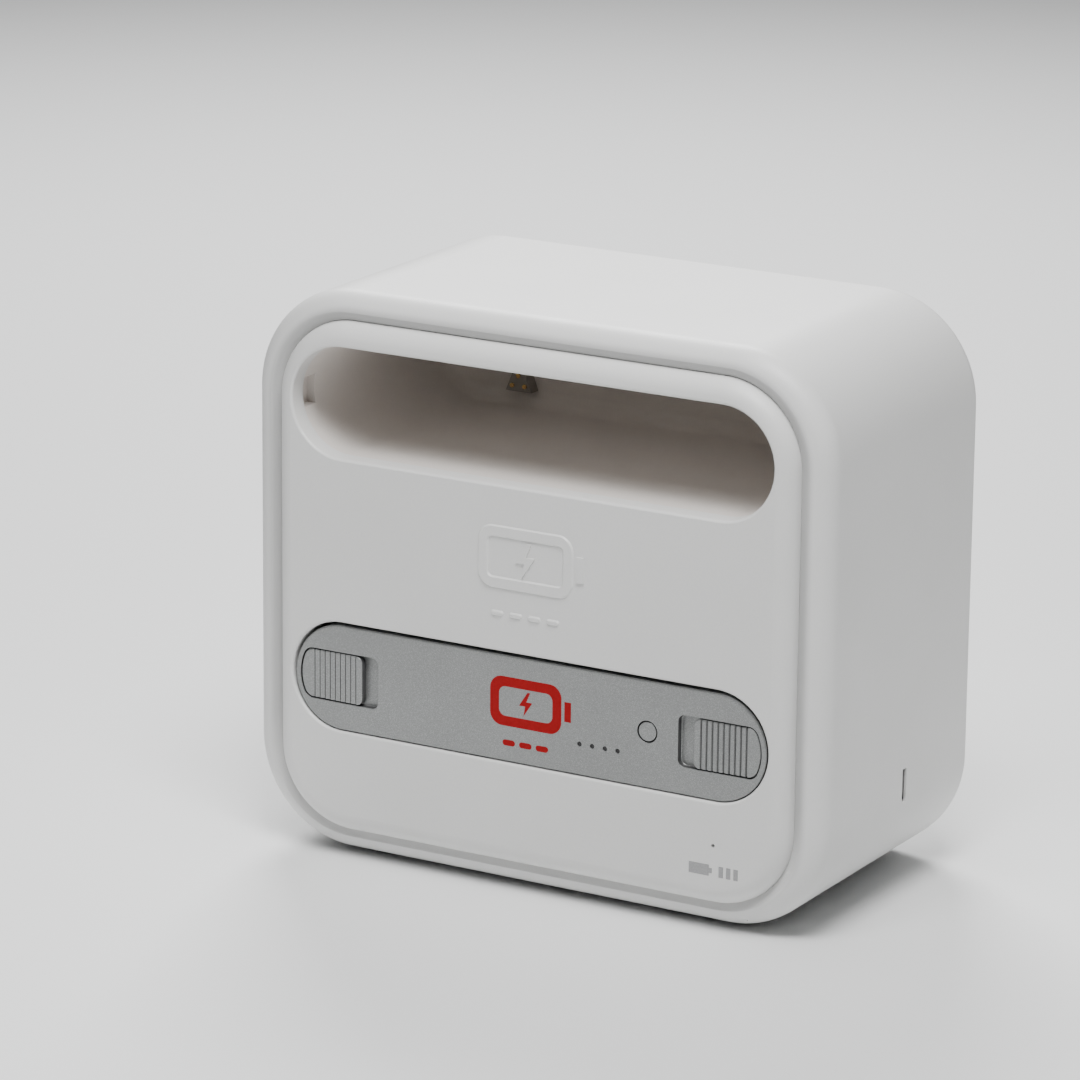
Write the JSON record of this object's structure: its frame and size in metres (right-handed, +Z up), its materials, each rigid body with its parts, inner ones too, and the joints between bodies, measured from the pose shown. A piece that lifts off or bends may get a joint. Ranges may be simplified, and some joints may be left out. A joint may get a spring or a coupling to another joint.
{
  "type": "battery pack charging cabinet",
  "caption": "White table-top charging cabinet with two long bays for slide-in battery packs, one of which is in place, held by sprung thumb latches.",
  "frame": {"origin": "under the middle of the cabinet, at the height its feet stand on", "axes": "+X to the right as seen from the front, +Y to the back, +Z up; the bays open towards -Y"},
  "size_m": [0.192, 0.1006, 0.1728],
  "materials": {
    "shell_white": "fine satin moulding",
    "tray_white": "smooth satin moulding",
    "pack_silver": "silver satin paint on plastic",
    "grey_plastic": "matt",
    "black_plastic": "matt",
    "dark_nylon": "matt glass-filled",
    "white_nylon": "matt",
    "circuit_board": "green solder mask",
    "steel": "bright zinc or nickel plate",
    "gold_contact": "plated contacts",
    "cell_sleeve": null,
    "heat_sink_metal": "bare extrusion",
    "capacitor_sleeve": "dark blue sleeve",
    "copper_winding": "enamelled wire",
    "clear_plastic": "water clear",
    "red_ink": "printed",
    "grey_ink": "printed",
    "lead_black": "insulated wire",
    "lead_red": "insulated wire",
    "foot_rubber": "matt"
  },
  "bodies": {
    "cabinet": {"front_casing": "shell_white", "rear_cover": "shell_white", "front_panel": "shell_white", "upper_bay_tray": "tray_white", "lower_bay_tray": "tray_white", "upper_bay_header": "grey_plastic", "lower_bay_header": "grey_plastic", "upper_bay_pins": "gold_contact", "lower_bay_pins": "gold_contact", "main_circuit_board": "circuit_board", "board_chips": "black_plastic", "smoothing_capacitors": "capacitor_sleeve", "power_inductor": "copper_winding", "heat_sink": "heat_sink_metal", "board_connectors": "white_nylon", "status_led_board": "circuit_board", "status_led": "clear_plastic", "status_symbol": "grey_ink", "dc_inlet": "black_plastic", "dc_inlet_nut": "steel", "dc_inlet_pin": "gold_contact", "inlet_lead": "lead_black", "status_lead": "lead_black", "panel_screws": "steel", "tray_screws": "steel", "board_screws": "steel", "led_board_screws": "steel", "rear_cover_screws": "steel", "rubber_feet": "foot_rubber"},
    "battery_pack": {"pack_face_plate": "pack_silver", "pack_symbol": "red_ink", "pack_lower_shell": "black_plastic", "pack_upper_shell": "black_plastic", "battery_cells": "cell_sleeve", "front_cell_holder": "dark_nylon", "rear_cell_holder": "dark_nylon", "nickel_strips": "steel", "pack_circuit_board": "circuit_board", "pack_board_chips": "black_plastic", "charge_leds": "clear_plastic", "light_guide": "clear_plastic", "check_switch": "black_plastic", "pack_socket": "black_plastic", "pack_contacts": "gold_contact", "pack_leads": "lead_red", "pack_screws": "steel", "left_latch_spring": "steel", "right_latch_spring": "steel"},
    "left_latch": {"left_thumb_piece": "pack_silver", "left_latch_bolt": "dark_nylon", "left_latch_screw": "steel"},
    "right_latch": {"right_thumb_piece": "pack_silver", "right_latch_bolt": "dark_nylon", "right_latch_screw": "steel"},
    "check_button_body": {"check_button": "pack_silver"}
  },
  "joints": [
    {"name": "pack_slide", "type": "slide", "parent": "cabinet", "child": "battery_pack", "axis": [0, -1, 0], "range_m": [0, 0.096]},
    {"name": "left_latch_slide", "type": "slide", "parent": "battery_pack", "child": "left_latch", "axis": [1, 0, 0], "range_m": [0, 0.0046], "stiffness_N_per_m": 350, "springref_m": -0.004, "deforming": ["left_latch_spring"]},
    {"name": "right_latch_slide", "type": "slide", "parent": "battery_pack", "child": "right_latch", "axis": [-1, 0, 0], "range_m": [0, 0.0046], "stiffness_N_per_m": 350, "springref_m": -0.004, "deforming": ["right_latch_spring"]},
    {"name": "check_button_press", "type": "slide", "parent": "battery_pack", "child": "check_button_body", "axis": [0, 1, 0], "range_m": [0, 0.0006], "stiffness_N_per_m": 1200, "springref_m": -0.0004}
  ]
}
